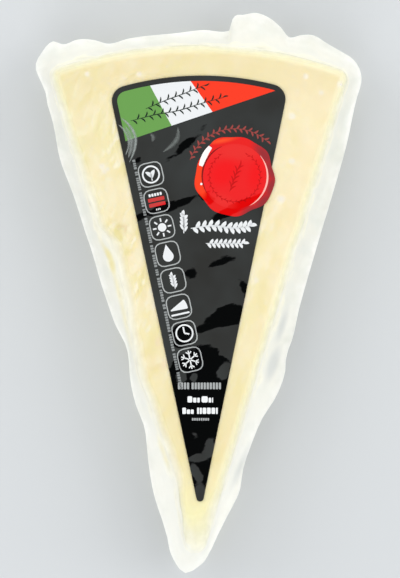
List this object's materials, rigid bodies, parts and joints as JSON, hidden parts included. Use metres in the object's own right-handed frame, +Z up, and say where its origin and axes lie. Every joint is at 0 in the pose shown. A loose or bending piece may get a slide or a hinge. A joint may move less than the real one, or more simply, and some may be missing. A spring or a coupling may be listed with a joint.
{
  "type": "vacuum-packed parmesan cheese wedge",
  "caption": "Wedge of hard pale cheese sealed tight in clear film, with a trimmed wavy seam all round and a long dark printed label on its broad upper face.",
  "frame": {"origin": "middle of the outline, on the surface that the pack lies on", "axes": "+Y towards the rind, -Y towards the tip, +X to the right with the label up, +Z up out of the label"},
  "size_m": [0.0888, 0.1529, 0.0244],
  "materials": {
    "cheese_in_film": "pale straw cheese under clear glossy shrink film, hazy white at the seam",
    "label_print": "gloss laminated label, near black with small fields of green, white and red"
  },
  "bodies": {
    "root": {"sealed_pack": "cheese_in_film", "printed_label": "label_print"}
  },
  "joints": []
}
